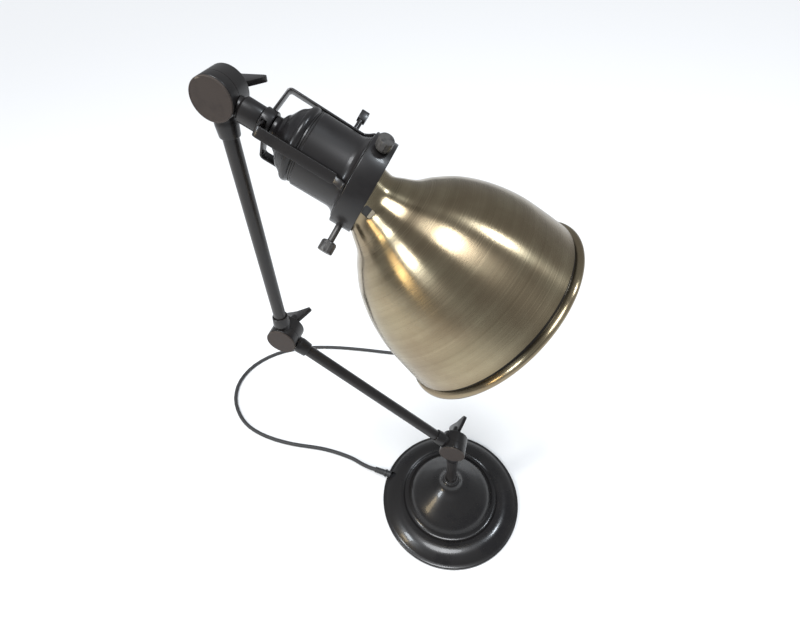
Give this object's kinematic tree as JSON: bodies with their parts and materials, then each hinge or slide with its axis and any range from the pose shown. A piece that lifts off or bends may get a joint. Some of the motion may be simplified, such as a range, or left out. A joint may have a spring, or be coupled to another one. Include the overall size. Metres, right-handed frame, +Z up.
{
  "type": "swing arm desk lamp",
  "caption": "Desk lamp with a round weighted base, two swinging arms on wing-nut knuckles, and a bell shade held in a ring by thumb screws.",
  "frame": {"origin": "centre of the base's underside, on the table", "axes": "+Z up; the arms lie in the XZ plane with the shade towards +X; the knuckles' plain caps face -Y and their wing nuts +Y"},
  "size_m": [0.4435, 0.4356, 0.5038],
  "materials": {
    "bronze": "satin near-black bronze enamel",
    "bronze_gloss": "glossy near-black bronze enamel",
    "antique_brass": "antique brass brushed round the shade, lacquered, with a smooth lining",
    "cast_iron": "raw casting",
    "felt": "black felt",
    "steel": "zinc plated",
    "porcelain": "glazed",
    "shell_brass": "plain pressed brass",
    "cord_rubber": "matt black"
  },
  "bodies": {
    "base": {"base_cover": "bronze_gloss", "base_weight": "cast_iron", "base_pad": "felt", "cord_gland": "cord_rubber", "cord_run": "cord_rubber", "cord_coil": "cord_rubber", "cord_tie": "cord_rubber", "cord_tail": "cord_rubber", "cord_plug": "cord_rubber", "plug_blade_1": "shell_brass", "plug_blade_2": "shell_brass"},
    "stem": {"stem_tube": "bronze", "stem_half": "bronze", "stem_collar": "bronze_gloss", "stem_nut": "steel", "shoulder_cap": "bronze", "shoulder_bolt": "steel"},
    "lower_arm": {"lower_arm_near_half": "bronze", "lower_arm_tube": "bronze", "lower_arm_far_half": "bronze", "shoulder_washer": "steel", "elbow_washer": "steel"},
    "upper_arm": {"upper_arm_near_half": "bronze", "upper_arm_tube": "bronze", "upper_arm_far_half": "bronze", "elbow_cap": "bronze", "elbow_bolt": "steel", "wrist_cap": "bronze", "wrist_bolt": "steel"},
    "head": {"head_half": "bronze", "wrist_washer": "steel", "head_nipple": "steel", "strap_collar": "bronze", "strap_1": "bronze", "strap_2": "bronze", "strap_3": "bronze", "housing_cap": "bronze", "housing_body": "bronze", "gallery_ring": "bronze", "lamp_holder": "porcelain", "screw_shell": "shell_brass", "centre_contact": "shell_brass", "switch_bush": "bronze", "shade": "antique_brass"},
    "shoulder_nut": {"shoulder_wing_nut": "bronze"},
    "elbow_nut": {"elbow_wing_nut": "bronze"},
    "wrist_nut": {"wrist_wing_nut": "bronze"},
    "switch": {"switch_knob": "bronze"},
    "screw_upper": {"thumb_screw_1": "bronze"},
    "screw_loose": {"thumb_screw_2": "bronze"},
    "screw_rear": {"thumb_screw_3": "bronze"}
  },
  "joints": [
    {"name": "base_swivel", "type": "hinge", "parent": "base", "child": "stem", "pos_m": [0, 0, 0.054], "axis": [0, 0, 1], "range_deg": [-150, 150]},
    {"name": "shoulder", "type": "hinge", "parent": "stem", "child": "lower_arm", "pos_m": [0, 0, 0.1296], "axis": [0, 1, 0], "range_deg": [-35, 45]},
    {"name": "elbow", "type": "hinge", "parent": "lower_arm", "child": "upper_arm", "pos_m": [-0.16365, 0, 0.27287], "axis": [0, 1, 0], "range_deg": [-50, 35]},
    {"name": "head_tilt", "type": "hinge", "parent": "upper_arm", "child": "head", "pos_m": [-0.15378, 0, 0.49014], "axis": [0, -1, 0], "range_deg": [-3, 90]},
    {"name": "shoulder_nut_turn", "type": "hinge", "parent": "stem", "child": "shoulder_nut", "pos_m": [0, 0.02, 0.1296], "axis": [0, 1, 0], "continuous": true},
    {"name": "elbow_nut_turn", "type": "hinge", "parent": "upper_arm", "child": "elbow_nut", "pos_m": [-0.16365, 0.02, 0.27287], "axis": [0, 1, 0], "continuous": true},
    {"name": "wrist_nut_turn", "type": "hinge", "parent": "upper_arm", "child": "wrist_nut", "pos_m": [-0.15378, 0.02, 0.49014], "axis": [0, 1, 0], "continuous": true},
    {"name": "switch_turn", "type": "hinge", "parent": "head", "child": "switch", "pos_m": [-0.08109, 0.03289, 0.46074], "axis": [0.1751, 0.9397, 0.2938], "continuous": true},
    {"name": "screw_upper_turn", "type": "hinge", "parent": "head", "child": "screw_upper", "pos_m": [-0.05345, -0.00521, 0.46472], "axis": [0.5043, -0.1736, 0.8459], "continuous": true},
    {"name": "screw_loose_turn", "type": "hinge", "parent": "head", "child": "screw_loose", "pos_m": [-0.07845, -0.02298, 0.42278], "axis": [-0.3291, -0.766, -0.5521], "continuous": true},
    {"name": "screw_rear_turn", "type": "hinge", "parent": "head", "child": "screw_rear", "pos_m": [-0.07383, 0.02819, 0.43053], "axis": [-0.1751, 0.9397, -0.2938], "continuous": true}
  ]
}
